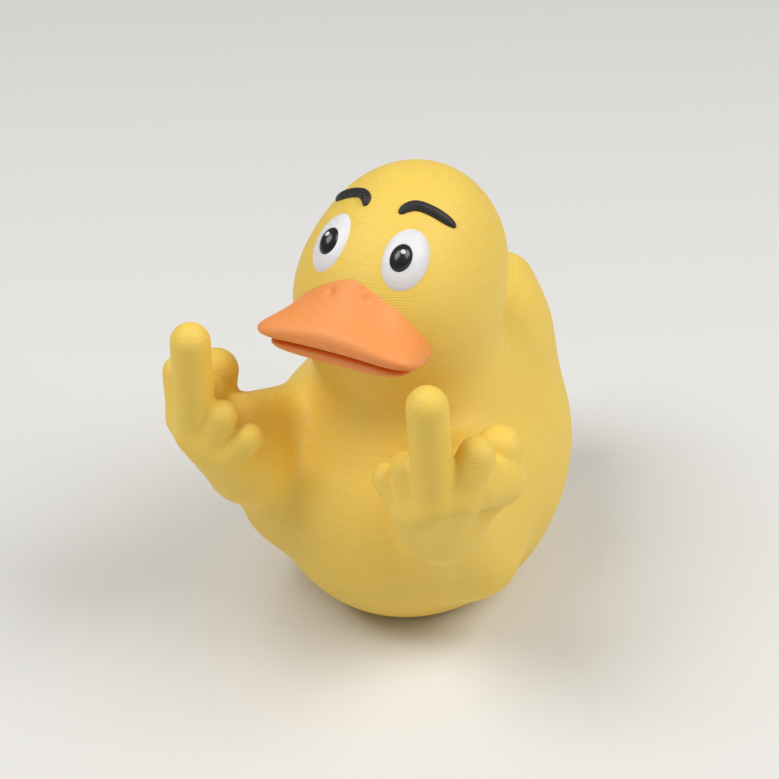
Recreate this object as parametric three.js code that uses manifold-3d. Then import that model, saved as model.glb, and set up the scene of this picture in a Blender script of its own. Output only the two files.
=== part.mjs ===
// Duck figurine, printed in coloured plastic: a bath duck whose wings are a pair of raised arms.
// Units are millimetres. +Z is up, the duck faces -Y, and +X is the duck's left.
// The origin is on the flat base, at the middle of the overall box.
import * as THREE from "three";
import { mergeVertices } from "three/addons/utils/BufferGeometryUtils.js";
import Module from "manifold-3d";

// Trunk: an egg that is cut flat underneath.
const TRUNK_WIDTH = 45;
const TRUNK_LENGTH = 53;
const TRUNK_HEIGHT = 46;
const BASE_CUT = 3.7;

// Head: an egg that leans forward and down, with a ball for the full cheeks, on a short neck.
const HEAD_WIDTH = 28.2;
const HEAD_LENGTH = 34.4;
const HEAD_HEIGHT = 32;
const HEAD_LEAN = 22;
const HEAD_FORWARD = 4.4;
const HEAD_ABOVE_TRUNK = 35.5;
const CHEEKS_FORWARD = 5.45;
const CHEEKS_DOWN = 1.7;
const CHEEKS_RADIUS = 13.7;
const NECK_TOP_RADIUS = 11;
const NECK_ROOT_RADIUS = 14.5;
const NECK_LENGTH = 11.5;
const NECK_BELOW_HEAD = 8;
const NECK_LEAN_BACK = 0.6;

// Tail: a cone that narrows and rises behind the trunk, its joints as [outward, forward, up] from
// the middle of the trunk, each with its radius.
const TAIL_ROOT = { at: [0, -9, 5], radius: 17.4 };
const TAIL_MIDDLE = { at: [0, -23.5, 11], radius: 9.6 };
const TAIL_TIP = { at: [0, -32.2, 17.2], radius: 4 };

// Arms: joints as [outward, forward, up] from the middle of the trunk, each with its radius.
const SHOULDER = { at: [12.6, 4.3, 7], radius: 8.6 };
const ELBOW = { at: [14.4, 12.2, -2.7], radius: 7.3 };
const WRIST = { at: [15.4, 25.4, 10.7], radius: 5.1 };

// The wing's upper edge and the middle of its blade, which fill the arm's bend.
const WING_EDGE_ROOT = { at: [12.5, 8, 8.7], radius: 6.6 };
const WING_EDGE_END = { at: [17, 23, 15.7], radius: 4.4 };
const WING_BLADE_ROOT = { at: [13.3, 10, 2.5], radius: 7.2 };
const WING_BLADE_END = { at: [16.2, 24, 12.2], radius: 4.7 };

// Fingers: each from its knuckle to its tip. The back of the hand spreads from the wrist to the knuckles.
const LITTLE_FINGER = [{ at: [12.4, 31.2, 16.8], radius: 2.5 }, { at: [10.8, 32, 20], radius: 2.1 }];
const RING_FINGER = [{ at: [15.4, 32.8, 18.4], radius: 2.7 }, { at: [14.2, 33.2, 23.6], radius: 2.2 }];
const MIDDLE_FINGER = [{ at: [18.7, 33.4, 19.6], radius: 2.9 }, { at: [17.9, 34.5, 35.1], radius: 2.8 }];
const INDEX_FINGER = [{ at: [21.4, 31.4, 20.2], radius: 2.9 }, { at: [23, 30.5, 26], radius: 2.6 }];
const THUMB = [{ at: [23.2, 22, 17.8], radius: 3.4 }, { at: [22.8, 21, 22.6], radius: 3.3 }];
const FIST = [{ at: [22.6, 28.4, 22.4], radius: 3 }, { at: [23, 23, 20], radius: 3.3 }];

// Beak: a broad upper bill that flattens from its crown to its rim, over a shorter lower bill.
// It stands before the head's front end, and a wall behind the mouth joins the two bills.
const BEAK_WIDTH = 24.6;
const BEAK_LENGTH = 15.6;
const BEAK_BEFORE_HEAD = 7.4;
const BEAK_CROWN_ABOVE_HEAD = 9.4;
const BEAK_RIM_ABOVE_HEAD = 2.6;
const BEAK_ROOT_ARCH = 0.1;
const BEAK_RIM_ARCH = 0.018;
const BEAK_SQUARENESS = 2.8;
const BEAK_PROFILE_POWER = 1.25;
const LIP_THICKNESS = 2.4;
const MOUTH_GAP = 1;
const MOUTH_WALL_BEFORE_HEAD = 4;
const MOUTH_WALL_ABOVE_HEAD = 0.5;
const MOUTH_WALL_HEIGHT = 12;
const MOUTH_SIDE_DEPTH = 2.6;
const LOWER_BILL_THICKNESS = 2.8;
const LOWER_BILL_SHORTER = 2.6;
const LOWER_BILL_NARROWER = 2.4;

// Eyes and brows: places as angles seen from the middle of the head, round from the front and up.
const EYE_ROUND = 25.7;
const EYE_UP = 35.5;
const EYE_WIDTH = 6.6;
const EYE_HEIGHT = 9.4;
const EYE_PROUD = 1.2;
const EYE_SUNK = 0.9;
const PUPIL_ROUND = 22.7;
const PUPIL_UP = 35.2;
const PUPIL_WIDTH = 3.3;
const PUPIL_HEIGHT = 4.5;
const PUPIL_PROUD = 0.9;
const PUPIL_SUNK = 0.6;
const BROW_PLACES = [
  [19, 59.5],
  [44, 62.5],
  [67.5, 49],
];
const BROW_WIDTH = 1.5;
const BROW_PROUD = 1;
const BROW_SUNK = 0.5;
const BROW_BLUNTNESS = 0.45;

// Gap left between two pieces that sit against each other.
const SEAT_GAP = 0.3;

// Facets: how many go around and how many from pole to pole, as [around, rings].
const LARGE_EGG_FACETS = [40, 24];
const DISC_FACETS = [24, 12];
const BILL_FACETS = [32, 16];
const BROW_FACETS = [12, 16];
const NECK_FACETS = 32;
const TAIL_FACETS = 28;
const ARM_FACETS = 20;
const FINGER_FACETS = 12;

// Corners closer together than this are one corner.
const SAME_POINT = 1e-4;

const YELLOW = new THREE.MeshStandardMaterial({ color: "#f5d45a", roughness: 0.55, metalness: 0 });
const ORANGE = new THREE.MeshStandardMaterial({ color: "#ff8c46", roughness: 0.5, metalness: 0 });
const WHITE = new THREE.MeshStandardMaterial({ color: "#f0f0ee", roughness: 0.5, metalness: 0 });
const BLACK = new THREE.MeshStandardMaterial({ color: "#1c1a1c", roughness: 0.4, metalness: 0 });

const wasm = await Module();
wasm.setup();

const trunkCentre = new THREE.Vector3(0, 0, TRUNK_HEIGHT / 2 - BASE_CUT);
const headCentre = new THREE.Vector3(0, -HEAD_FORWARD, trunkCentre.z + HEAD_ABOVE_TRUNK);
const headTurn = new THREE.Quaternion().setFromAxisAngle(
  new THREE.Vector3(1, 0, 0), THREE.MathUtils.degToRad(HEAD_LEAN));
const headRadii = new THREE.Vector3(HEAD_WIDTH, HEAD_LENGTH, HEAD_HEIGHT).divideScalar(2);
const beakReach = HEAD_LENGTH / 2 + BEAK_BEFORE_HEAD;
const beakRoot = beakReach - BEAK_LENGTH;
const neckTop = headCentre.clone().add(new THREE.Vector3(0, 0, -NECK_BELOW_HEAD));
const neckRoot = neckTop.clone().add(new THREE.Vector3(0, NECK_LEAN_BACK, -NECK_LENGTH));

// A closed solid from a geometry: shared corners are merged and empty triangles dropped.
function solidOf(geometry) {
  geometry.deleteAttribute("normal");
  geometry.deleteAttribute("uv");
  const merged = mergeVertices(geometry, SAME_POINT);
  const corners = merged.index.array;
  const triangles = [];
  for (let i = 0; i < corners.length; i += 3) {
    const [a, b, c] = [corners[i], corners[i + 1], corners[i + 2]];
    if (a !== b && b !== c && c !== a) {
      triangles.push(a, b, c);
    }
  }
  return new wasm.Manifold(new wasm.Mesh({
    numProp: 3,
    vertProperties: new Float32Array(merged.attributes.position.array),
    triVerts: new Uint32Array(triangles),
  }));
}

// A named mesh from a solid.
function meshOf(name, solid, material) {
  const { numProp, vertProperties, triVerts } = solid.getMesh();
  const positions = new Float32Array((vertProperties.length / numProp) * 3);
  for (let i = 0; i < positions.length / 3; i += 1) {
    positions.set(vertProperties.subarray(i * numProp, i * numProp + 3), i * 3);
  }
  const geometry = new THREE.BufferGeometry();
  geometry.setAttribute("position", new THREE.BufferAttribute(positions, 3));
  geometry.setIndex(new THREE.BufferAttribute(new Uint32Array(triVerts), 1));
  geometry.computeVertexNormals();
  const mesh = new THREE.Mesh(geometry, material);
  mesh.name = name;
  return mesh;
}

function joined(solids) {
  return solids.reduce((whole, solid) => whole.add(solid));
}

// An egg of the given radii about a centre, turned by a quaternion.
function egg(centre, radii, turn, facets) {
  const geometry = new THREE.SphereGeometry(1, ...facets);
  geometry.rotateX(Math.PI / 2);
  geometry.scale(radii.x, radii.y, radii.z);
  geometry.applyQuaternion(turn);
  geometry.translate(centre.x, centre.y, centre.z);
  return solidOf(geometry);
}

// A limb: two balls joined by the cone that touches both.
function limb(from, to, fromRadius, toRadius, around) {
  const axis = to.clone().sub(from);
  const length = axis.length();
  const touch = Math.asin((fromRadius - toRadius) / length);
  const arcSteps = Math.round(around / 4);
  const profile = [];
  for (let i = 0; i <= arcSteps; i += 1) {
    const angle = -Math.PI / 2 + (Math.PI / 2 + touch) * (i / arcSteps);
    profile.push(new THREE.Vector2(fromRadius * Math.cos(angle), fromRadius * Math.sin(angle)));
  }
  for (let i = 0; i <= arcSteps; i += 1) {
    const angle = touch + (Math.PI / 2 - touch) * (i / arcSteps);
    profile.push(new THREE.Vector2(toRadius * Math.cos(angle), length + toRadius * Math.sin(angle)));
  }
  profile[0].x = 0;
  profile[profile.length - 1].x = 0;
  const geometry = new THREE.LatheGeometry(profile, around);
  const turn = new THREE.Quaternion().setFromUnitVectors(
    new THREE.Vector3(0, 1, 0), axis.clone().normalize());
  geometry.applyQuaternion(turn);
  geometry.translate(from.x, from.y, from.z);
  return solidOf(geometry);
}

// The head and neck, grown all over by a margin, which is how other pieces are kept clear of them.
function headAndNeck(margin) {
  const radii = headRadii.clone().addScalar(margin);
  const head = egg(headCentre, radii, headTurn, LARGE_EGG_FACETS);
  const cheeksRadii = new THREE.Vector3().setScalar(CHEEKS_RADIUS + margin);
  const cheeksCentre = headCentre.clone().add(new THREE.Vector3(0, -CHEEKS_FORWARD, -CHEEKS_DOWN));
  const cheeks = egg(cheeksCentre, cheeksRadii, new THREE.Quaternion(), LARGE_EGG_FACETS);
  const topRadius = NECK_TOP_RADIUS + margin;
  const neck = limb(neckTop, neckRoot, topRadius, NECK_ROOT_RADIUS + margin, NECK_FACETS);
  return joined([head, cheeks, neck]);
}

// A point given as [outward, forward, up] from an origin, on the side +1 or -1.
function sidePoint(origin, [outward, forward, up], side) {
  return origin.clone().add(new THREE.Vector3(side * outward, -forward, up));
}

// A limb between two joints, each given from the middle of the trunk.
function jointLimb(from, to, side, around) {
  const start = sidePoint(trunkCentre, from.at, side);
  const end = sidePoint(trunkCentre, to.at, side);
  return limb(start, end, from.radius, to.radius, around);
}

function tail() {
  const root = jointLimb(TAIL_ROOT, TAIL_MIDDLE, 1, TAIL_FACETS);
  return root.add(jointLimb(TAIL_MIDDLE, TAIL_TIP, 1, TAIL_FACETS));
}

function arm(side) {
  const pieces = [
    jointLimb(SHOULDER, ELBOW, side, ARM_FACETS),
    jointLimb(ELBOW, WRIST, side, ARM_FACETS),
    jointLimb(WING_EDGE_ROOT, WING_EDGE_END, side, ARM_FACETS),
    jointLimb(WING_BLADE_ROOT, WING_BLADE_END, side, ARM_FACETS),
  ];
  for (const [knuckle, tip] of [LITTLE_FINGER, RING_FINGER, MIDDLE_FINGER, INDEX_FINGER, THUMB]) {
    pieces.push(jointLimb(WRIST, knuckle, side, FINGER_FACETS));
    pieces.push(jointLimb(knuckle, tip, side, FINGER_FACETS));
  }
  pieces.push(jointLimb(...FIST, side, FINGER_FACETS));
  return joined(pieces);
}

function duckBody() {
  const trunkRadii = new THREE.Vector3(TRUNK_WIDTH, TRUNK_LENGTH, TRUNK_HEIGHT).divideScalar(2);
  const trunk = egg(trunkCentre, trunkRadii, new THREE.Quaternion(), LARGE_EGG_FACETS);
  const whole = joined([trunk, tail(), headAndNeck(0), arm(1), arm(-1)]);
  const under = new THREE.BoxGeometry(4 * TRUNK_WIDTH, 4 * TRUNK_LENGTH, TRUNK_HEIGHT);
  under.translate(0, 0, -TRUNK_HEIGHT / 2);
  return whole.subtract(solidOf(under));
}

// One bill: a flat cushion with a squared plan, bent down to each side more at its root than its rim.
function bill(halfWidth, reach, thickness, drop) {
  const geometry = new THREE.SphereGeometry(1, ...BILL_FACETS);
  geometry.rotateX(Math.PI / 2);
  const points = geometry.attributes.position;
  const halfLength = (reach - beakRoot) / 2;
  for (let i = 0; i < points.count; i += 1) {
    const across = points.getX(i);
    const along = points.getY(i);
    const size = Math.hypot(across, along);
    const power = Math.abs(across) ** BEAK_SQUARENESS + Math.abs(along) ** BEAK_SQUARENESS;
    const plan = size > SAME_POINT ? size / power ** (1 / BEAK_SQUARENESS) : 1;
    const x = across * plan * halfWidth;
    const back = (along * plan + 1) / 2;
    const rise = (BEAK_CROWN_ABOVE_HEAD - BEAK_RIM_ABOVE_HEAD) * back ** BEAK_PROFILE_POWER;
    const arch = BEAK_RIM_ARCH + (BEAK_ROOT_ARCH - BEAK_RIM_ARCH) * back * back;
    const middle = BEAK_RIM_ABOVE_HEAD + rise - arch * x * x - drop - thickness / 2;
    const z = middle + points.getZ(i) * (thickness / 2) * (1 + back);
    points.setXYZ(i, x, -reach + 2 * halfLength * back, z);
  }
  geometry.translate(headCentre.x, headCentre.y, headCentre.z);
  return solidOf(geometry);
}

function beak() {
  const upper = bill(BEAK_WIDTH / 2, beakReach, LIP_THICKNESS, 0);
  const lowerDrop = LIP_THICKNESS + MOUTH_GAP;
  const lower = bill((BEAK_WIDTH - LOWER_BILL_NARROWER) / 2, beakReach - LOWER_BILL_SHORTER,
    LOWER_BILL_THICKNESS, lowerDrop);
  const wallLength = HEAD_LENGTH / 2 + MOUTH_WALL_BEFORE_HEAD - beakRoot;
  const wallMiddle = new THREE.Vector3(0, -beakRoot, MOUTH_WALL_ABOVE_HEAD);
  const wallRadii = new THREE.Vector3(
    BEAK_WIDTH / 2 - MOUTH_SIDE_DEPTH, wallLength, MOUTH_WALL_HEIGHT / 2);
  const wall = egg(headCentre.clone().add(wallMiddle), wallRadii, new THREE.Quaternion(), DISC_FACETS);
  return joined([upper, lower, wall]).subtract(headAndNeck(SEAT_GAP));
}

// The point of the head's surface in a direction given by two angles, and the surface normal there.
function onHead(round, up, side) {
  const [turnRound, turnUp] = [THREE.MathUtils.degToRad(round), THREE.MathUtils.degToRad(up)];
  const direction = new THREE.Vector3(
    side * Math.sin(turnRound) * Math.cos(turnUp),
    -Math.cos(turnRound) * Math.cos(turnUp),
    Math.sin(turnUp));
  const unturn = headTurn.clone().invert();
  const local = direction.clone().applyQuaternion(unturn).divide(headRadii);
  const distance = 1 / local.length();
  const normal = local.divide(headRadii).applyQuaternion(headTurn).normalize();
  return { point: headCentre.clone().addScaledVector(direction, distance), normal };
}

// A turn that lays a disc on the head: its thickness along the normal, its height up the slope.
function seatTurn(normal) {
  const uphill = new THREE.Vector3(0, 0, 1).addScaledVector(normal, -normal.z).normalize();
  const sideways = new THREE.Vector3().crossVectors(normal, uphill);
  const basis = new THREE.Matrix4().makeBasis(sideways, normal, uphill);
  return new THREE.Quaternion().setFromRotationMatrix(basis);
}

// An oval dome on the head: how far it stands proud of a height above the surface.
function dome(seat, width, height, proud, sunk, above, margin) {
  const centre = seat.point.clone().addScaledVector(seat.normal, above - sunk);
  const radii = new THREE.Vector3(width / 2, proud + sunk, height / 2).addScalar(margin);
  return egg(centre, radii, seatTurn(seat.normal), DISC_FACETS);
}

function eyeWhite(side, margin) {
  return dome(onHead(EYE_ROUND, EYE_UP, side), EYE_WIDTH, EYE_HEIGHT, EYE_PROUD, EYE_SUNK, 0, margin);
}

function pupil(side) {
  const seat = onHead(PUPIL_ROUND, PUPIL_UP, side);
  const disc = dome(seat, PUPIL_WIDTH, PUPIL_HEIGHT, PUPIL_PROUD, PUPIL_SUNK, EYE_PROUD, 0);
  return disc.subtract(eyeWhite(side, SEAT_GAP)).subtract(headAndNeck(SEAT_GAP));
}

// A brow: a ball stretched along a curve on the head, blunt at both ends.
function brow(side) {
  const seats = BROW_PLACES.map(([round, up]) => onHead(round, up, side));
  const curve = new THREE.CatmullRomCurve3(seats.map((seat) => seat.point));
  const normals = new THREE.CatmullRomCurve3(seats.map((seat) => seat.normal));
  const geometry = new THREE.SphereGeometry(1, ...BROW_FACETS);
  const points = geometry.attributes.position;
  const halfDepth = (BROW_PROUD + BROW_SUNK) / 2;
  for (let i = 0; i < points.count; i += 1) {
    const along = THREE.MathUtils.clamp((points.getY(i) + 1) / 2, 0, 1);
    const ring = Math.hypot(points.getX(i), points.getZ(i));
    const blunt = ring > SAME_POINT ? ring ** -BROW_BLUNTNESS : 0;
    const tangent = curve.getTangent(along);
    const normal = normals.getPoint(along).normalize();
    const across = new THREE.Vector3().crossVectors(tangent, normal).normalize();
    const place = curve.getPoint(along)
      .addScaledVector(across, points.getX(i) * blunt * (BROW_WIDTH / 2))
      .addScaledVector(normal, points.getZ(i) * blunt * halfDepth + halfDepth - BROW_SUNK);
    points.setXYZ(i, place.x, place.y, place.z);
  }
  return solidOf(geometry).subtract(headAndNeck(SEAT_GAP));
}

const group = new THREE.Group();
group.add(meshOf("duck_body", duckBody(), YELLOW));
group.add(meshOf("beak", beak(), ORANGE));
for (const [word, side] of [["left", 1], ["right", -1]]) {
  const white = eyeWhite(side, 0).subtract(headAndNeck(SEAT_GAP));
  group.add(meshOf(`${word}_eye_white`, white, WHITE));
  group.add(meshOf(`${word}_pupil`, pupil(side), BLACK));
  group.add(meshOf(`${word}_brow`, brow(side), BLACK));
}

// The origin goes to the middle of the box, on the flat base.
const box = new THREE.Box3().setFromObject(group);
group.position.y = -(box.min.y + box.max.y) / 2;

export default group;
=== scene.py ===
import math

import bpy
import numpy as np
from bpy.props import FloatProperty, FloatVectorProperty, PointerProperty
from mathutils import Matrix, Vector


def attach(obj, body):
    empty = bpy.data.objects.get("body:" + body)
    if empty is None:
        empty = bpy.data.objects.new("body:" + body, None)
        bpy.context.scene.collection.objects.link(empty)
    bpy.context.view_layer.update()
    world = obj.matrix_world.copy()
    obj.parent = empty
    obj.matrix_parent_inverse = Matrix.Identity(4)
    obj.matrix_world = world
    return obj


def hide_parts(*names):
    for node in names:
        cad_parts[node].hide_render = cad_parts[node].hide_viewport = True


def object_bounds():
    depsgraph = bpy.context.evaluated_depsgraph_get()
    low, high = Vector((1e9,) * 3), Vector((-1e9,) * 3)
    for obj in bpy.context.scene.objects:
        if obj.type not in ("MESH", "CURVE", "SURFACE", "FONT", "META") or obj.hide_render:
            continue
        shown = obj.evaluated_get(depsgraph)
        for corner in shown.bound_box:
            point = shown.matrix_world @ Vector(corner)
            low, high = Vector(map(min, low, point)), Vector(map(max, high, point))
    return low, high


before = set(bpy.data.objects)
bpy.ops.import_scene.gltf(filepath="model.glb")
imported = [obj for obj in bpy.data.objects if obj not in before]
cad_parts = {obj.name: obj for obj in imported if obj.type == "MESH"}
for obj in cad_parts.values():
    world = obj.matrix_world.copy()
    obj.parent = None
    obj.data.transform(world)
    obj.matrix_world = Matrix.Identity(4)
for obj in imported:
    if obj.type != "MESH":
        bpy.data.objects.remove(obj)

bl_info = {
    "name": "Printed Duck Figurine",
    "version": (1, 0, 0),
    "blender": (4, 5, 0),
    "location": "3D View > Sidebar > Duck",
    "description": "A printed duck with raised hands for wings, its beak, eyes and brows, and a stage",
    "category": "Add Mesh",
}

CAD_BOX = [list(corner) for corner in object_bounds()]

MM = 0.001

# The duck faces -y, so its own left is towards +x.
SIDES = (("left", 1.0), ("right", -1.0))

# The fields are worked in millimetres. Their y is measured from the middle of the trunk,
# and the frame's from the middle of the whole box, so finished pieces move by the difference.
TAIL_END_FROM_TRUNK = 36.2
BOX_SHIFT_Y = CAD_BOX[1][1] / MM - TAIL_END_FROM_TRUNK

# Grid steps of the meshed fields, in millimetres: fine enough for round outlines in a close view.
BODY_STEP = 0.5
BEAK_STEP = 0.3
WHITE_STEP = 0.14
PUPIL_STEP = 0.09

# The boxes that the grids fill, in millimetres. An eye's is a cube that reaches this far each way.
BODY_BOX = ((-29, -40, -1.5), (29, 39, 73))
BEAK_BOX = ((-14, -31, 46), (14, -12, 65))
WHITE_REACH = 6.5
PUPIL_REACH = 4


# Sizes and colours that a user would change


def length(name, value, description):
    """A length given in millimetres and kept as metres."""
    return FloatProperty(
        name=name, default=value * MM, description=description, unit="LENGTH", precision=5
    )


def linear(code):
    """The linear values of an sRGB hex code such as #F4CF56."""
    values = [int(code[i:i + 2], 16) / 255 for i in (1, 3, 5)]
    return tuple(v / 12.92 if v <= 0.04045 else ((v + 0.055) / 1.055) ** 2.4 for v in values)


def hex_colour(name, code, description):
    """A colour given as its sRGB hex code and kept as linear values."""
    return FloatVectorProperty(
        name=name, default=linear(code), description=description,
        subtype="COLOR", size=3, min=0.0, max=1.0,
    )


class DuckBodySizes(bpy.types.PropertyGroup):
    trunk_width: length("Trunk Width", 45, "Width of the trunk's egg")
    trunk_length: length("Trunk Length", 53, "Length of the trunk's egg")
    trunk_height: length("Trunk Height", 46, "Height of the trunk's egg before its flat is cut")
    base_cut: length("Base Cut", 3.7, "Depth of the flat cut under the trunk")
    head_width: length("Head Width", 28.2, "Width of the head's egg")
    head_length: length("Head Length", 34.4, "Length of the head's egg")
    head_height: length("Head Height", 32, "Height of the head's egg")
    head_forward: length("Head Forward", 4.4, "How far the head's middle lies before the trunk's")
    head_above: length("Head Above", 35.5, "How far the head's middle lies above the trunk's")
    head_lean: FloatProperty(
        name="Head Lean", default=math.radians(22), subtype="ANGLE",
        description="How far the head's egg leans forward and down",
    )
    crease: length("Crease", 1.6, "How softly the hands run into the arms and the trunk")
    shoulder_blend: length("Shoulder Blend", 3.5, "How softly the arms run into the trunk")


class BeakSizes(bpy.types.PropertyGroup):
    half_width: length("Half Width", 12.7, "Half of the upper bill's greatest width")
    root_half_width: length("Root Half Width", 10.2, "Half of the beak's width at the face")
    rim_reach: length("Rim Reach", 29, "How far the upper bill's rim lies before the trunk's middle")
    lip_thickness: length("Lip Thickness", 1.6, "Thickness of the upper bill at its sides")
    mouth_gap: length("Mouth Gap", 0.6, "Height of the slit between the bills")
    nostril_depth: length("Nostril Depth", 0.9, "Depth of the dimple on each side of the crown")


class EyeSizes(bpy.types.PropertyGroup):
    white_width: length("White Width", 6.5, "Width of the white of an eye")
    white_height: length("White Height", 9.5, "Height of the white of an eye")
    white_proud: length("White Proud", 0.9, "How far the white stands proud of the head")
    pupil_width: length("Pupil Width", 3.2, "Width of a pupil")
    pupil_height: length("Pupil Height", 4.4, "Height of a pupil")
    pupil_proud: length("Pupil Proud", 0.6, "How far a pupil stands proud of its white")


class BrowSizes(bpy.types.PropertyGroup):
    width: length("Width", 1.7, "Width of a brow at its middle")
    proud: length("Proud", 0.8, "How far a brow stands proud of the head")


class DuckColours(bpy.types.PropertyGroup):
    yellow: hex_colour("Yellow", "#F4CF56", "Plastic of the body")
    orange: hex_colour("Orange", "#F89A4E", "Plastic of the beak")
    white: hex_colour("White", "#E8E7E8", "Plastic of the eyes")
    black: hex_colour("Black", "#171517", "Plastic of the pupils and brows")
    floor: hex_colour("Floor", "#E4E3E0", "Floor of the stage")
    layer_height: length("Layer Height", 0.2, "Height of one printed layer")


def millimetres(value):
    """A length that is kept as metres."""
    return value / MM


def framed(place):
    """A place in the fields, in millimetres, as its place in the frame, in metres."""
    x, y, z = place
    return (x * MM, (y + BOX_SHIFT_Y) * MM, z * MM)


def direction(around, up):
    """A way out from the duck, in degrees round from its front to its left, and degrees up."""
    a, e = math.radians(around), math.radians(up)
    return (math.sin(a) * math.cos(e), -math.cos(a) * math.cos(e), math.sin(e))


# Rounded shapes as distance fields: below zero inside, in millimetres

# Keeps a division sound at the very middle of an egg.
TINY = 1e-6


def blend(a, b, reach):
    """The union of two fields with a fillet about as wide as reach."""
    near = np.maximum(reach - np.abs(a - b), 0) / reach
    return np.minimum(a, b) - near * near * reach / 4


def cut(a, b, reach):
    """What two fields share, with a rounded edge about as wide as reach."""
    return -blend(-a, -b, reach)


def egg(points, centre, radii, turn=None):
    """An egg about a centre. A turn holds its axes as columns."""
    local = points - np.float32(centre)
    if turn is not None:
        local = local @ np.float32(turn)
    scaled = local / np.float32(radii)
    near = np.sqrt((scaled * scaled).sum(-1)) + TINY
    steep = np.sqrt(((scaled / np.float32(radii)) ** 2).sum(-1)) + TINY
    return near * (near - 1) / steep


def limb(points, start, end, start_radius, end_radius):
    """Two balls and the cone that touches both."""
    start = np.float32(start)
    axis = np.float32(end) - start
    span = float(axis @ axis)
    drop = start_radius - end_radius
    slant = span - drop * drop
    local = points - start
    along = local @ axis
    beyond = along - span
    across = ((local * span - along[:, None] * axis) ** 2).sum(-1)
    along_sq = along * along * span
    beyond_sq = beyond * beyond * span
    side = np.sign(drop) * drop * drop * across
    at_end = np.sign(beyond) * slant * beyond_sq > side
    at_start = np.sign(along) * slant * along_sq < side
    cone = (np.sqrt(across * slant / span) + along * drop) / span - start_radius
    field = np.where(at_start, np.sqrt(across + along_sq) / span - start_radius, cone)
    return np.where(at_end, np.sqrt(across + beyond_sq) / span - end_radius, field)


def lean(angle):
    """The axes of a shape that leans forward by an angle, as columns."""
    c, s = math.cos(angle), math.sin(angle)
    return np.array([[1, 0, 0], [0, c, -s], [0, s, c]])


# Meshes from fields

# A point is drawn onto its surface in a few passes, by half a grid step in each at the most, along
# a slope that is measured over a fifth of a step each way. The two least values keep the divisions
# sound where the field is level.
DRAW_PASSES = 4
LONGEST_MOVE = 0.5
SLOPE_REACH = 0.2
LEAST_SLOPE = 1e-4
LEAST_MOVE = 1e-9


def meshed(field, low, high, step):
    """Points and four-sided faces of a field's surface, with the points drawn onto it."""
    axes = [np.arange(a, b + step, step, dtype=np.float32) for a, b in zip(low, high)]
    shape = tuple(len(axis) for axis in axes)
    values = np.empty(shape, np.float32)
    slab = np.empty((shape[1] * shape[2], 3), np.float32)
    slab[:, 1:] = np.stack(np.meshgrid(axes[1], axes[2], indexing="ij"), -1).reshape(-1, 2)
    for i, x in enumerate(axes[0]):
        slab[:, 0] = x
        values[i] = field(slab).reshape(shape[1:])
    inside = values < 0

    # A cell that the surface passes through gets one point, the mean of where its edges cross.
    corners = [(i, j, k) for i in (0, 1) for j in (0, 1) for k in (0, 1)]
    count = np.zeros([n - 1 for n in shape], np.int8)
    for corner in corners:
        count += inside[tuple(slice(c, n - 1 + c) for c, n in zip(corner, shape))]
    cells = np.argwhere((count > 0) & (count < 8))
    number = np.full(count.shape, -1, np.int64)
    number[tuple(cells.T)] = np.arange(len(cells))
    total = np.zeros((len(cells), 3))
    crossings = np.zeros(len(cells))
    for first in corners:
        for axis in range(3):
            if first[axis]:
                continue
            second = tuple(c + (n == axis) for n, c in enumerate(first))
            a = values[tuple((cells + first).T)]
            b = values[tuple((cells + second).T)]
            crossed = (a < 0) != (b < 0)
            place = np.tile(np.float64(first), (len(cells), 1))
            place[:, axis] = a / np.where(crossed, a - b, 1)
            total[crossed] += place[crossed]
            crossings += crossed
    points = np.float32(low) + (cells + total / crossings[:, None]) * step

    # Each grid edge that crosses the surface gets one face, between the four cells round it.
    faces = []
    for axis in range(3):
        u, v = (axis + 1) % 3, (axis + 2) % 3
        here = [slice(None)] * 3
        here[axis] = slice(0, -1)
        there = list(here)
        there[axis] = slice(1, None)
        edges = np.argwhere(inside[tuple(here)] != inside[tuple(there)])
        keep = (edges[:, u] > 0) & (edges[:, v] > 0)
        keep &= edges[:, u] < shape[u] - 1
        keep &= edges[:, v] < shape[v] - 1
        edges = edges[keep]
        ring = []
        for back_u, back_v in ((0, 0), (1, 0), (1, 1), (0, 1)):
            cell = edges.copy()
            cell[:, u] -= back_u
            cell[:, v] -= back_v
            ring.append(number[tuple(cell.T)])
        ring = np.stack(ring, -1)
        outward = inside[tuple(edges.T)]
        faces.append(np.where(outward[:, None], ring, ring[:, ::-1]))
    points = drawn_on(field, points.astype(np.float32), step)
    return points, np.concatenate(faces)


def drawn_on(field, points, step):
    """Points moved along the field's slope until they lie on its surface."""
    reach = step * SLOPE_REACH
    for _ in range(DRAW_PASSES):
        distance = field(points)
        slope = np.empty_like(points)
        for axis in range(3):
            offset = np.zeros(3, np.float32)
            offset[axis] = reach
            slope[:, axis] = (field(points + offset) - field(points - offset)) / (2 * reach)
        steep = (slope * slope).sum(-1, keepdims=True) + LEAST_SLOPE
        move = slope * (distance[:, None] / steep)
        size = np.sqrt((move * move).sum(-1, keepdims=True)) + LEAST_MOVE
        points = points - move * np.minimum(1, step * LONGEST_MOVE / size)
    return points


def piece(name, points, faces, material):
    """A smooth mesh object from points in millimetres, with its place in its mesh."""
    mesh = bpy.data.meshes.new(name)
    placed = np.array(points, np.float64)
    placed[:, 1] += BOX_SHIFT_Y
    mesh.from_pydata((placed * MM).tolist(), [], faces.tolist())
    mesh.update()
    mesh.materials.append(material)
    mesh.polygons.foreach_set("use_smooth", [True] * len(mesh.polygons))
    made = bpy.data.objects.new(name, mesh)
    bpy.context.collection.objects.link(made)
    return made


# The duck's shapes, in millimetres

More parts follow.
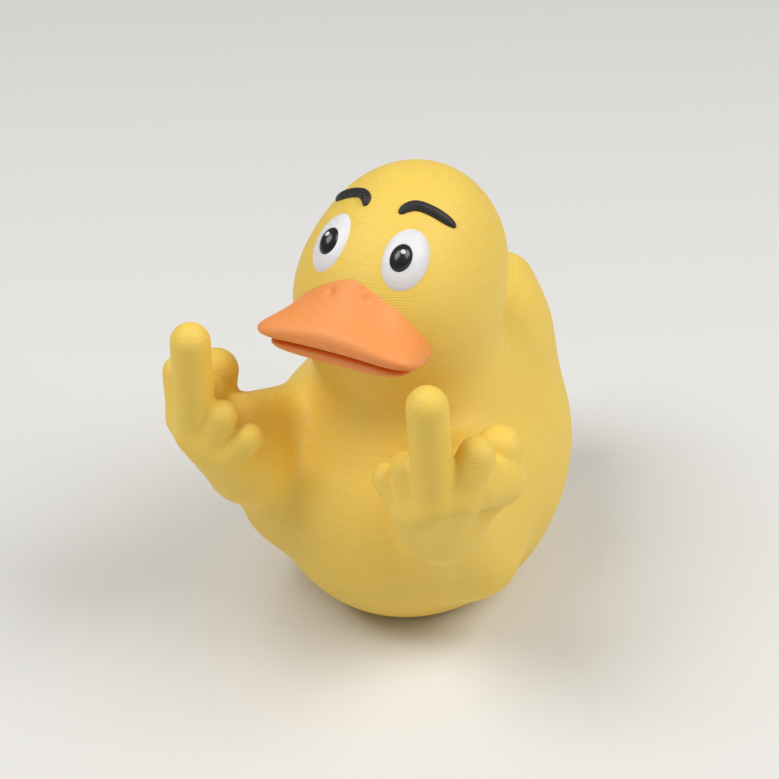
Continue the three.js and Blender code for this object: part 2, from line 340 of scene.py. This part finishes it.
# Each joint of an arm as [outward, towards the tail, up] from the trunk's middle, with its radius.
# The last two limbs fill the bend of the elbow between the shoulder and the wrist.
SHOULDER = ((12.6, -4.3, 7), 8.6)
ELBOW = ((14.8, -13.4, -2.5), 7.3)
WRIST = ((15.4, -25.4, 10.7), 5.1)
ARM_LIMBS = (
    (SHOULDER, ELBOW),
    (ELBOW, WRIST),
    (((12.5, -8, 8.7), 6.6), ((17, -23, 15.7), 4.4)),
    (((13.3, -10, 2.5), 7.2), ((16.2, -24, 12.2), 4.7)),
)

# Each finger as the knuckle and the tip, from the trunk's middle, with a radius for each. The fist
# fills the hand between the forefinger and the thumb.
LITTLE = ((14.6, -32.6, 16.6), 2.5, (10.8, -32.0, 20.2), 2.1)
RING = ((16.9, -33.4, 17.6), 2.6, (14.2, -33.2, 23.7), 2.2)
MIDDLE = ((18.7, -33.4, 19.6), 2.9, (17.9, -34.5, 35.1), 2.8)
INDEX = ((21.4, -31.4, 20.2), 2.9, (23.0, -29.9, 26.4), 2.6)
THUMB = ((23.2, -22.0, 17.8), 3.4, (22.6, -21.4, 22.3), 3.3)
FIST = ((22.2, -28.6, 20.8), 3.6, (23.0, -23.2, 18.8), 3.8)
FINGERS = (LITTLE, RING, MIDDLE, INDEX, THUMB)

# The tail as three balls along the middle, from the trunk's middle.
TAIL = (((0, 9, 5), 17.4), ((0, 23.5, 11), 9.6), ((0, 32.2, 17.2), 4))

# The neck's two balls and the cheeks' one, from the head's middle.
NECK_TOP = ((0, 0, -8), 11)
NECK_ROOT = ((0, 0.6, -19.5), 14.5)
CHEEKS = ((0, -5.45, -1.7), 13.7)

# The fillets where these shapes meet, and the rounded edge of the flat under the trunk.
CHEEK_BLEND = 3
TAIL_BLEND = 8
NECK_BLEND = 6
ARM_BLEND = 3
PALM_BLEND = 2
FINGER_BLEND = 0.8
BASE_EDGE = 0.5

# The beak's lengths run back from the upper bill's rim, and its heights up from the head's middle.
# Over its taper the sides run in to the root's width and their edges droop.
BEAK_TAPER = 12.4
RIM_HEIGHT = 0.8
EDGE_DROOP = 3.3
BEAK_CORNER = 5

# The crown is the middle line of the upper bill. It climbs by its rise over its run in a slightly
# hollow slope, goes on past the run by a share of it, and is rounded across to the sides.
CROWN_AT_RIM = 2.5
CROWN_RISE = 5.4
CROWN_RUN = 9.3
CROWN_PAST_RUN = 1.3
CROWN_HOLLOW = 1.25
CROWN_ROUND = 1.7
PAST_SIDES = 1.1
LIP_ARCH = 0.6

# The lower bill and the wall behind the mouth: how much narrower and shorter than the upper bill
# they are. The lower bill thins towards the face, and the wall stays inside both bills.
LOWER_IN = 1
LOWER_BACK = 1.3
LOWER_DEPTH = 1.8
LOWER_THINNING = 0.5
LOWER_FULLNESS = 3
WALL_IN = 2.4
WALL_BACK = 3.4
WALL_UNDER_TOP = 1
WALL_OVER_BOTTOM = 0.6
INNER_CORNER = 4

# How round the edges are: the lips, the outlines of the bills and of the wall, and the root's rim.
# The blends are the fillets where the bills meet each other and the wall.
LIP_ROUND = 1
UPPER_ROUND = 1.4
LOWER_ROUND = 1.2
WALL_ROUND = 0.6
ROOT_ROUND = 1
BILL_BLEND = 0.3
WALL_BLEND = 0.4

# The left nostril, from the head's middle, is a round dimple in the crown.
NOSTRIL = (2.8, -18.2, 5.6)
NOSTRIL_RADIUS = 1.1
NOSTRIL_HOLLOW = 1.5

# The beak ends inside the head: flat at this y, and no deeper than this under the face. Its field
# grows faster than the distance where the crown is steep, so it is scaled down.
BEAK_ROOT_Y = -13
BEAK_SUNK = 0.8
BEAK_SCALE = 0.7

# The middle of a white and a pupil on the left, in degrees round from the front of the head and up.
WHITE_AT = (25.7, 35.5)
PUPIL_AT = (22.7, 35.2)

# The painted highlight's place on a pupil: across, up and out from the pupil's middle.
PAINTED_HIGHLIGHT_AT = (0, 0.7, 1.3)

# How far an eye's dome goes on under the surface that it stands on.
DOME_SUNK = 0.35

# A place on the head is found along a line from its middle in this many passes, and the slope
# there is measured this far each way.
SEAT_PASSES = 40
SEAT_REACH = 0.05


class Duck:
    """The duck's fields, from the sizes that the user set."""

    def __init__(self, scene):
        body = scene.duck_body
        self.body = body
        self.beak = scene.duck_beak
        self.eyes = scene.duck_eyes
        trunk_size = np.array([body.trunk_width, body.trunk_length, body.trunk_height])
        head_size = np.array([body.head_width, body.head_length, body.head_height])
        self.trunk_radii = trunk_size / (2 * MM)
        self.head_radii = head_size / (2 * MM)
        self.trunk = np.array([0, 0, self.trunk_radii[2] - millimetres(body.base_cut)])
        self.head = self.trunk + [0, -millimetres(body.head_forward), millimetres(body.head_above)]
        self.head_axes = lean(body.head_lean)

    def head_field(self, points):
        """The head's egg with a ball for the full cheeks under it."""
        skull = egg(points, self.head, self.head_radii, self.head_axes)
        middle, radius = CHEEKS
        from_cheeks = points - np.float32(self.head + middle)
        cheeks = np.sqrt((from_cheeks ** 2).sum(-1)) - radius
        return blend(skull, cheeks, CHEEK_BLEND)

    def limbs(self, points, pairs, reach):
        """Limbs that run into each other, each as two places from the trunk's middle with radii."""
        field = None
        for (start, start_radius), (end, end_radius) in pairs:
            part = limb(points, self.trunk + start, self.trunk + end, start_radius, end_radius)
            field = part if field is None else blend(field, part, reach)
        return field

    def hand_field(self, points):
        """The back of the hand, spread from the wrist to the knuckles, with the fingers on it."""
        spokes = [(WRIST, (knuckle, radius)) for knuckle, radius, _, _ in FINGERS]
        field = self.limbs(points, spokes, PALM_BLEND)
        for knuckle, radius, tip, tip_radius in (*FINGERS, FIST):
            finger = limb(points, self.trunk + knuckle, self.trunk + tip, radius, tip_radius)
            field = blend(field, finger, FINGER_BLEND)
        return field

    def body_field(self, points):
        """The one printed yellow body: trunk, tail, neck, head, arms and hands."""
        field = egg(points, self.trunk, self.trunk_radii)
        tail = self.limbs(points, (TAIL[:2], TAIL[1:]), TAIL_BLEND)
        field = blend(field, tail, TAIL_BLEND)
        (top, top_radius), (root, root_radius) = NECK_TOP, NECK_ROOT
        neck = limb(points, self.head + top, self.head + root, top_radius, root_radius)
        field = blend(field, neck, NECK_BLEND)
        field = blend(field, self.head_field(points), NECK_BLEND)
        mirrored = points.copy()
        mirrored[:, 0] = np.abs(mirrored[:, 0])
        arm = self.limbs(mirrored, ARM_LIMBS, ARM_BLEND)
        field = blend(field, arm, millimetres(self.body.shoulder_blend))
        field = blend(field, self.hand_field(mirrored), millimetres(self.body.crease))
        return cut(field, -points[:, 2], BASE_EDGE)

    def beak_field(self, points):
        """A broad upper bill over a shorter lower bill, joined by a wall behind the mouth's slit."""
        sizes = self.beak
        x, y = np.abs(points[:, 0]), points[:, 1]
        z = points[:, 2] - np.float32(self.head[2])
        inward = y + millimetres(sizes.rim_reach)
        back = np.clip(inward / BEAK_TAPER, 0, 1)
        widest, root = millimetres(sizes.half_width), millimetres(sizes.root_half_width)
        width = widest + (root - widest) * back * back
        across = np.minimum(x / width, PAST_SIDES)

        edge = RIM_HEIGHT - EDGE_DROOP * back
        climb = np.clip(inward / CROWN_RUN, 0, CROWN_PAST_RUN) ** CROWN_HOLLOW
        crown = CROWN_AT_RIM + CROWN_RISE * climb
        top = edge + (crown - edge) * (1 - across ** CROWN_ROUND)
        lip_under = edge - millimetres(sizes.lip_thickness) + LIP_ARCH * (1 - across ** 2)
        plan = cut(x - width, -inward, BEAK_CORNER)
        upper = cut(cut(z - top, lip_under - z, LIP_ROUND), plan, UPPER_ROUND)

        low_top = lip_under - millimetres(sizes.mouth_gap)
        depth = LOWER_DEPTH - LOWER_THINNING * back
        low_bottom = low_top - depth * (1 - across ** LOWER_FULLNESS)
        plan = cut(x - width + LOWER_IN, LOWER_BACK - inward, INNER_CORNER)
        lower = cut(cut(z - low_top, low_bottom - z, LIP_ROUND), plan, LOWER_ROUND)

        plan = cut(x - width + WALL_IN, WALL_BACK - inward, INNER_CORNER)
        wall = cut(z - top + WALL_UNDER_TOP, low_bottom + WALL_OVER_BOTTOM - z, WALL_ROUND)
        wall = cut(wall, plan, WALL_ROUND)
        field = blend(blend(upper, lower, BILL_BLEND), wall, WALL_BLEND)

        from_nostril = np.stack([x, y - np.float32(self.head[1]), z], -1) - np.float32(NOSTRIL)
        dimple = 1 - np.sqrt((from_nostril ** 2).sum(-1)) / NOSTRIL_RADIUS
        field = field + millimetres(sizes.nostril_depth) * np.clip(dimple, 0, 1) ** NOSTRIL_HOLLOW
        field = cut(field, y - BEAK_ROOT_Y, ROOT_ROUND) * BEAK_SCALE
        return np.maximum(field, -self.head_field(points) - BEAK_SUNK)

    def seat(self, around, up, side):
        """A point on the head in a direction, with the axes across, upright and outwards there."""
        way = np.array(direction(side * around, up))
        reach = min(self.head_radii)
        for _ in range(SEAT_PASSES):
            reach -= float(self.head_field(np.float32([self.head + way * reach]))[0])
        point = self.head + way * reach
        offsets = np.float32(np.eye(3) * SEAT_REACH)
        ahead = self.head_field(np.float32(point) + offsets)
        behind = self.head_field(np.float32(point) - offsets)
        outward = (ahead - behind) / np.linalg.norm(ahead - behind)
        upright = np.array([0, outward[2], -outward[1]])
        upright /= np.linalg.norm(upright)
        return point, np.stack([np.cross(upright, outward), upright, outward], -1)

    def dome_field(self, points, seat, width, height, proud, ground):
        """An oval dome that follows the surface it stands on, whose field is ground."""
        place, axes = seat
        flat = (points - np.float32(place)) @ np.float32(axes)
        scaled = np.stack([flat[:, 0], flat[:, 1], ground + DOME_SUNK], -1)
        return egg(scaled, (0, 0, 0), (width / 2, height / 2, proud + DOME_SUNK))

    def white_seat(self, side):
        return self.seat(*WHITE_AT, side)

    def pupil_seat(self, side):
        return self.seat(*PUPIL_AT, side)

    def white_field(self, points, side):
        eyes = self.eyes
        return self.dome_field(
            points, self.white_seat(side), millimetres(eyes.white_width),
            millimetres(eyes.white_height), millimetres(eyes.white_proud), self.head_field(points),
        )

    def pupil_field(self, points, side):
        eyes = self.eyes
        return self.dome_field(
            points, self.pupil_seat(side), millimetres(eyes.pupil_width),
            millimetres(eyes.pupil_height), millimetres(eyes.pupil_proud),
            self.white_field(points, side),
        )


# Materials

# The printed lines sway by this share of a layer, in waves about 11 mm long.
SWAY = 0.6
SWAY_SCALE = 90.0

# Layers differ in patches about 17 mm long and three quarters of a layer high.
PATCH_SCALE = 60.0
PATCHES_PER_LAYER = 1.3

# How strongly the relief shows the even line of each layer, and the layers' differences.
LINE_SHARE = 0.35
PATCH_SHARE = 1.6

# Where the noise turns from the darker tint to the lighter, and how far each is from the colour.
TINT_FROM, TINT_TO = 0.25, 0.75
DARKER, LIGHTER = 0.94, 1.03

# How far the roughness drifts below and above its plain value.
SMOOTHER, ROUGHER = 0.05, 0.07

# The painted highlight, a white dot painted on a pupil: its full part and its faded edge, from its
# middle.
PAINTED_HIGHLIGHT_COLOUR = "#E1E1E1"
PAINTED_HIGHLIGHT_FULL = 0.3 * MM
PAINTED_HIGHLIGHT_EDGE = 0.42 * MM


def add(tree, kind, settings=None, links=None, **attributes):
    """Adds a node: attributes on the node, settings on its inputs, links from other sockets."""
    node = tree.nodes.new(kind)
    for name, value in attributes.items():
        setattr(node, name, value)
    for name, value in (settings or {}).items():
        node.inputs[name].default_value = value
    for name, socket in (links or {}).items():
        tree.links.new(socket, node.inputs[name])
    return node


def new_material(name, colour, settings):
    """A material with its shader and output, viewed in solid mode in the same colour."""
    material = bpy.data.materials.new(name)
    material.use_nodes = True
    material.diffuse_color = (*colour, 1.0)
    tree = material.node_tree
    tree.nodes.clear()
    shader = add(tree, "ShaderNodeBsdfPrincipled", settings)
    add(tree, "ShaderNodeOutputMaterial", links={"Surface": shader.outputs["BSDF"]})
    return material, tree, shader


def with_painted_highlight(tree, place, skin, painted_highlight):
    """The skin's colour with a painted highlight on each side: a white dot in place of a lamp's
    reflection, which makes the eye look wet.
    """
    # The place loses the sign of its sideways part, so the painted highlight on the left shows on the
    # right too.
    unsigned = add(tree, "ShaderNodeVectorMath", links={0: place}, operation="ABSOLUTE")
    sideways = add(
        tree, "ShaderNodeVectorMath", {1: (1, 0, 0)}, {0: unsigned.outputs[0]}, operation="MULTIPLY",
    )
    rest = add(tree, "ShaderNodeVectorMath", {1: (0, 1, 1)}, {0: place}, operation="MULTIPLY")
    folded = add(
        tree, "ShaderNodeVectorMath", links={0: sideways.outputs[0], 1: rest.outputs[0]},
        operation="ADD",
    )
    away = add(
        tree, "ShaderNodeVectorMath", {1: painted_highlight}, {0: folded.outputs[0]}, operation="DISTANCE",
    )
    # The painted highlight's mask: full within its core, fading to nothing at its edge.
    inside = add(
        tree, "ShaderNodeMapRange",
        {"From Min": PAINTED_HIGHLIGHT_FULL, "From Max": PAINTED_HIGHLIGHT_EDGE, "To Min": 1.0, "To Max": 0.0},
        {"Value": away.outputs["Value"]},
    )
    # A colour mix has its factor at socket 0 and its colours at 6 and 7, and its result at 2.
    mixed = add(
        tree, "ShaderNodeMix", {7: (*linear(PAINTED_HIGHLIGHT_COLOUR), 1.0)}, {0: inside.outputs[0], 6: skin},
        data_type="RGBA",
    )
    return mixed.outputs[2]


def printed_plastic(name, colour, layer_height, roughness, relief, translucency, painted_highlight=None):
    """PLA laid down by a nozzle: a matte skin ruled all round with level lines, one to a layer.

    The lines stand out on steep walls and spread into contours where the surface lies flat.
    The relief scales their height, in millimetres. A painted highlight is a small white dot painted
    into the colour, given by its place on the duck's left, and it repeats on the right.
    """
    material, tree, shader = new_material(name, colour, {
        "IOR": 1.46,
        "Specular IOR Level": 0.7,
        "Subsurface Weight": translucency,
        "Subsurface Radius": (1.0, 0.55, 0.2),
        "Subsurface Scale": 1.2 * MM,
    })
    place = add(tree, "ShaderNodeTexCoord").outputs["Object"]
    warp = add(tree, "ShaderNodeTexNoise", {"Scale": SWAY_SCALE, "Detail": 2.0}, {"Vector": place})
    split = add(tree, "ShaderNodeSeparateXYZ", links={"Vector": place})
    swayed = add(
        tree, "ShaderNodeMath", {1: layer_height * SWAY},
        {0: warp.outputs["Fac"], 2: split.outputs["Z"]}, operation="MULTIPLY_ADD",
    )
    turns = add(
        tree, "ShaderNodeMath", {1: 2 * math.pi / layer_height}, {0: swayed.outputs[0]},
        operation="MULTIPLY",
    )
    wave = add(tree, "ShaderNodeMath", links={0: turns.outputs[0]}, operation="SINE")

    # Single layers differ: some stand out and some sit back.
    patches = add(
        tree, "ShaderNodeMapping",
        {"Scale": (PATCH_SCALE, PATCH_SCALE, PATCHES_PER_LAYER / layer_height)}, {"Vector": place},
    )
    uneven = add(
        tree, "ShaderNodeTexNoise", {"Scale": 1.0, "Detail": 3.0}, {"Vector": patches.outputs[0]},
    )
    lines = add(
        tree, "ShaderNodeMath", {1: LINE_SHARE}, {0: wave.outputs[0]}, operation="MULTIPLY",
    )
    height = add(
        tree, "ShaderNodeMath", {1: PATCH_SHARE}, {0: uneven.outputs["Fac"], 2: lines.outputs[0]},
        operation="MULTIPLY_ADD",
    )
    bump = add(
        tree, "ShaderNodeBump", {"Strength": 1.0, "Distance": relief * MM},
        {"Height": height.outputs[0]},
    )

    # The colour and the gloss drift a little with the layers, as the plastic's flow does.
    tint = add(tree, "ShaderNodeValToRGB", links={"Fac": uneven.outputs["Fac"]})
    darker, lighter = tint.color_ramp.elements
    darker.position = TINT_FROM
    lighter.position = TINT_TO
    darker.color = (*[c * DARKER for c in colour], 1.0)
    lighter.color = (*[min(1.0, c * LIGHTER) for c in colour], 1.0)
    gloss = add(
        tree, "ShaderNodeMapRange",
        {"To Min": roughness - SMOOTHER, "To Max": roughness + ROUGHER},
        {"Value": uneven.outputs["Fac"]},
    )
    skin = tint.outputs["Color"]
    # A pupil's colour gets its painted highlight here: a white dot in place of a reflection.
    if painted_highlight is not None:
        skin = with_painted_highlight(tree, place, skin, painted_highlight)
    tree.links.new(skin, shader.inputs["Base Color"])
    tree.links.new(gloss.outputs["Result"], shader.inputs["Roughness"])
    tree.links.new(bump.outputs["Normal"], shader.inputs["Normal"])
    return material


# Operators


class DUCK_OT_body(bpy.types.Operator):
    """Makes the yellow body in one piece: trunk, tail, neck, head, arms and hands"""

    bl_idname = "duck.body"
    bl_label = "Body"

    def execute(self, context):
        duck = Duck(context.scene)
        colours = context.scene.duck_colours
        points, faces = meshed(duck.body_field, *BODY_BOX, BODY_STEP)
        # Matte, with a broad soft sheen, and light sinks a little way into thin fingers.
        skin = printed_plastic(
            "FDM-printed matte PLA, yellow", tuple(colours.yellow), colours.layer_height,
            roughness=0.55, relief=0.03, translucency=0.12,
        )
        body = piece("printed_duck_body", points, faces, skin)
        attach(body, "root")
        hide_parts("duck_body")
        return {"FINISHED"}


class DUCK_OT_beak(bpy.types.Operator):
    """Makes the orange beak, with its upper and lower bill"""

    bl_idname = "duck.beak"
    bl_label = "Beak"

    def execute(self, context):
        duck = Duck(context.scene)
        colours = context.scene.duck_colours
        points, faces = meshed(duck.beak_field, *BEAK_BOX, BEAK_STEP)
        # Like the body, and a little smoother, so that the crown catches the light.
        skin = printed_plastic(
            "FDM-printed matte PLA, orange", tuple(colours.orange), colours.layer_height,
            roughness=0.5, relief=0.03, translucency=0.12,
        )
        beak = piece("printed_beak", points, faces, skin)
        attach(beak, "root")
        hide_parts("beak")
        return {"FINISHED"}


class DUCK_OT_eyes(bpy.types.Operator):
    """Makes the white of each eye and the pupil on it"""

    bl_idname = "duck.eyes"
    bl_label = "Eyes"

    def execute(self, context):
        duck = Duck(context.scene)
        colours = context.scene.duck_colours
        # Satin, with faint layers: a clean white with a soft highlight.
        white = printed_plastic(
            "FDM-printed satin PLA, white", tuple(colours.white), colours.layer_height,
            roughness=0.42, relief=0.008, translucency=0.08,
        )
        # Glossy and nearly smooth, so that the lamps show in it as in a wet eye.
        # Each pupil also gets a painted highlight, a white dot painted just above its middle.
        place, axes = duck.pupil_seat(1.0)
        black = printed_plastic(
            "Glossy black PLA", tuple(colours.black), colours.layer_height,
            roughness=0.22, relief=0.003, translucency=0.0, painted_highlight=framed(place + axes @ PAINTED_HIGHLIGHT_AT),
        )
        for word, side in SIDES:
            self.make_dome(
                f"{word}_eye_dome", f"{word}_eye_white", "white_plastic", white,
                duck.white_field, duck.white_seat(side)[0], side, WHITE_REACH, WHITE_STEP,
            )
            self.make_dome(
                f"{word}_pupil_dome", f"{word}_pupil", "black_plastic", black,
                duck.pupil_field, duck.pupil_seat(side)[0], side, PUPIL_REACH, PUPIL_STEP,
            )
        return {"FINISHED"}

    def make_dome(self, name, node, slot, material, field, centre, side, reach, step):
        """Meshes the field of one side in a cube about a centre."""
        points, faces = meshed(lambda p: field(p, side), centre - reach, centre + reach, step)
        dome = piece(name, points, faces, material)
        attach(dome, "root")
        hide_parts(node)


# A brow's path on the left, from its inner end outwards, in degrees round from the front and up.
BROW_PATH = ((18.5, 59), (25, 62.8), (37, 64.2), (50, 61), (60, 55.5), (68, 48.5))


class DUCK_OT_brows(bpy.types.Operator):
    """Makes the two raised brows, each swept along its path on the head"""

    bl_idname = "duck.brows"
    bl_label = "Brows"

    def execute(self, context):
        duck = Duck(context.scene)
        sizes, colours = context.scene.duck_brows, context.scene.duck_colours
        # Matte, with open layers, which turn the black to a dark grey under the lamps.
        black = printed_plastic(
            "FDM-printed PLA, black", tuple(colours.black), colours.layer_height,
            roughness=0.5, relief=0.03, translucency=0.0,
        )
        tree = brow_tree(black)
        names = {
            item.name: item.identifier
            for item in tree.interface.items_tree if item.in_out == "INPUT"
        }
        for word, side in SIDES:
            path = bpy.data.curves.new(f"{word}_brow_path", "CURVE")
            path.dimensions = "3D"
            spline = path.splines.new("POLY")
            seats = [duck.seat(around, up, side) for around, up in BROW_PATH]
            lift = millimetres(sizes.proud) - millimetres(sizes.width) / 2
            spline.points.add(len(seats) - 1)
            for point, (place, axes) in zip(spline.points, seats):
                point.co = (*framed(place + axes[:, 2] * lift), 1.0)
            guide = bpy.data.objects.new(f"{word}_brow_path", path)
            context.collection.objects.link(guide)
            sweep = guide.modifiers.new("Brow", "NODES")
            sweep.node_group = tree
            sweep[names["Width"]] = sizes.width
            context.view_layer.update()
            evaluated = guide.evaluated_get(context.evaluated_depsgraph_get())
            mesh = bpy.data.meshes.new_from_object(evaluated)
            mesh.name = f"{word}_brow_ridge"
            brow = bpy.data.objects.new(f"{word}_brow_ridge", mesh)
            context.collection.objects.link(brow)
            bpy.data.objects.remove(guide)
            if not len(mesh.polygons):
                raise RuntimeError("a brow came out empty")
            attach(brow, "root")
            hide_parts(f"{word}_brow")
        return {"FINISHED"}


def brow_tree(material):
    """Sweeps a round bead along a path and rounds off both of its ends."""
    tree = bpy.data.node_groups.new("Brow sweep", "GeometryNodeTree")
    tree.interface.new_socket("Geometry", in_out="INPUT", socket_type="NodeSocketGeometry")
    width = tree.interface.new_socket("Width", in_out="INPUT", socket_type="NodeSocketFloat")
    width.subtype = "DISTANCE"
    tree.interface.new_socket("Geometry", in_out="OUTPUT", socket_type="NodeSocketGeometry")
    given = add(tree, "NodeGroupInput")
    smooth = add(
        tree, "GeometryNodeCurveSplineType", links={"Curve": given.outputs["Geometry"]},
        spline_type="CATMULL_ROM",
    )
    even = add(
        tree, "GeometryNodeResampleCurve", {"Count": 72}, {"Curve": smooth.outputs["Curve"]},
        mode="COUNT",
    )

    # With c from -1 at one end to 1 at the other, the width's share is the root of 1 - c^4, so the
    # bead is full along most of the path. A small share is left at the very ends.
    along = add(tree, "GeometryNodeSplineParameter")
    centred = add(
        tree, "ShaderNodeMath", {1: 2.0, 2: -1.0}, {0: along.outputs["Factor"]},
        operation="MULTIPLY_ADD",
    )
    fourth = add(tree, "ShaderNodeMath", {1: 4.0}, {0: centred.outputs[0]}, operation="POWER")
    arch = add(tree, "ShaderNodeMath", {0: 1.0}, {1: fourth.outputs[0]}, operation="SUBTRACT")
    root = add(tree, "ShaderNodeMath", {1: 0.5}, {0: arch.outputs[0]}, operation="POWER")
    share = add(tree, "ShaderNodeMath", {1: 0.03}, {0: root.outputs[0]}, operation="MAXIMUM")
    across = add(
        tree, "ShaderNodeMath", links={0: share.outputs[0], 1: given.outputs["Width"]},
        operation="MULTIPLY",
    )
    radius = add(tree, "ShaderNodeMath", {1: 0.5}, {0: across.outputs[0]}, operation="MULTIPLY")
    ring = add(
        tree, "GeometryNodeCurvePrimitiveCircle", {"Resolution": 24, "Radius": 1.0}, mode="RADIUS",
    )
    bead = add(
        tree, "GeometryNodeCurveToMesh", {"Fill Caps": True},
        {
            "Curve": even.outputs["Curve"], "Profile Curve": ring.outputs["Curve"],
            "Scale": radius.outputs[0],
        },
    )
    shade = add(tree, "GeometryNodeSetShadeSmooth", links={"Geometry": bead.outputs["Mesh"]})
    real = add(tree, "GeometryNodeRealizeInstances", links={"Geometry": shade.outputs["Geometry"]})
    painted = add(
        tree, "GeometryNodeSetMaterial", {"Material": material},
        {"Geometry": real.outputs["Geometry"]},
    )
    add(tree, "NodeGroupOutput", links={"Geometry": painted.outputs["Geometry"]})
    return tree


# The camera stands round to the duck's left and above it, in degrees, and looks at its chest. Its
# distance and the place it looks at are in millimetres.
CAMERA_AROUND = 27
CAMERA_UP = 32
CAMERA_DISTANCE = 264.7
CAMERA_LENS = 83.2
LOOK_AT = (0, -10, 38.3)

# Half of the floor's side in metres, and the strength of the room's light.
FLOOR_REACH = 1.5
ROOM_LIGHT = 0.28


class DUCK_OT_stage(bpy.types.Operator):
    """Makes the pale floor, the soft lamps and the camera"""

    bl_idname = "duck.stage"
    bl_label = "Stage"

    def execute(self, context):
        scene = context.scene
        pale = tuple(scene.duck_colours.floor)
        mesh = bpy.data.meshes.new("floor")
        corners = [(-1, -1), (1, -1), (1, 1), (-1, 1)]
        mesh.from_pydata(
            [(x * FLOOR_REACH, y * FLOOR_REACH, 0) for x, y in corners], [], [(0, 1, 2, 3)]
        )
        floor = bpy.data.objects.new("floor", mesh)
        context.collection.objects.link(floor)
        # Flat paint: a plain even ground that takes a soft shadow and mirrors nothing.
        material, _, _ = new_material(
            "Matte painted board", pale, {"Base Color": (*pale, 1.0), "Roughness": 0.9},
        )
        mesh.materials.append(material)

        centre = Vector(framed(LOOK_AT))
        self.lamp("key", centre, around=-45, up=58, distance=0.7, size=0.4, power=2.75)
        self.lamp("fill", centre, around=105, up=48, distance=0.8, size=0.5, power=3.7)
        world = bpy.data.worlds.new("Studio")
        scene.world = world
        world.use_nodes = True
        tree = world.node_tree
        tree.nodes.clear()
        # The room lights the duck softly, and the camera sees a pale wall in its place.
        room = add(
            tree, "ShaderNodeBackground", {"Color": (1, 1, 1, 1), "Strength": ROOM_LIGHT},
        )
        wall = add(tree, "ShaderNodeBackground", {"Color": (*pale, 1.0)})
        seen = add(tree, "ShaderNodeLightPath").outputs["Is Camera Ray"]
        shown = add(
            tree, "ShaderNodeMixShader", links={0: seen, 1: room.outputs[0], 2: wall.outputs[0]},
        )
        add(tree, "ShaderNodeOutputWorld", links={"Surface": shown.outputs[0]})
        scene.view_settings.view_transform = "Standard"

        data = bpy.data.cameras.new("camera")
        data.sensor_width = 36
        data.lens = CAMERA_LENS
        camera = bpy.data.objects.new("camera", data)
        self.aim(camera, centre, CAMERA_AROUND, CAMERA_UP, CAMERA_DISTANCE * MM)
        scene.camera = camera
        return {"FINISHED"}

    def lamp(self, name, centre, around, up, distance, size, power):
        """A square soft lamp. Its distance and size are in metres and its power in watts."""
        data = bpy.data.lights.new(name, "AREA")
        data.size = size
        data.energy = power
        self.aim(bpy.data.objects.new(name, data), centre, around, up, distance)

    def aim(self, made, centre, around, up, distance):
        """Stands a lamp or camera off in a direction and points it at the centre."""
        away = Vector(direction(around, up))
        bpy.context.collection.objects.link(made)
        made.location = centre + away * distance
        made.rotation_mode = "QUATERNION"
        made.rotation_quaternion = (-away).to_track_quat("-Z", "Y")


class DUCK_PT_panel(bpy.types.Panel):
    """Lists the duck's pieces and their sizes"""

    bl_idname = "DUCK_PT_panel"
    bl_label = "Printed Duck"
    bl_space_type = "VIEW_3D"
    bl_region_type = "UI"
    bl_category = "Duck"

    def draw(self, context):
        scene = context.scene
        for operator, sizes in (
            ("duck.body", scene.duck_body), ("duck.beak", scene.duck_beak),
            ("duck.eyes", scene.duck_eyes), ("duck.brows", scene.duck_brows),
            ("duck.stage", scene.duck_colours),
        ):
            box = self.layout.box()
            box.operator(operator)
            for name in type(sizes).__annotations__:
                box.prop(sizes, name)


CLASSES = (
    DuckBodySizes, BeakSizes, EyeSizes, BrowSizes, DuckColours,
    DUCK_OT_body, DUCK_OT_beak, DUCK_OT_eyes, DUCK_OT_brows, DUCK_OT_stage, DUCK_PT_panel,
)
GROUPS = {
    "duck_body": DuckBodySizes, "duck_beak": BeakSizes, "duck_eyes": EyeSizes,
    "duck_brows": BrowSizes, "duck_colours": DuckColours,
}


def register():
    for kind in CLASSES:
        bpy.utils.register_class(kind)
    for name, group in GROUPS.items():
        setattr(bpy.types.Scene, name, PointerProperty(type=group))


def unregister():
    for name in GROUPS:
        delattr(bpy.types.Scene, name)
    for kind in reversed(CLASSES):
        bpy.utils.unregister_class(kind)


def main():
    register()
    bpy.ops.duck.stage()
    bpy.ops.duck.body()
    bpy.ops.duck.beak()
    bpy.ops.duck.eyes()
    bpy.ops.duck.brows()


if __name__ == "__main__":
    main()
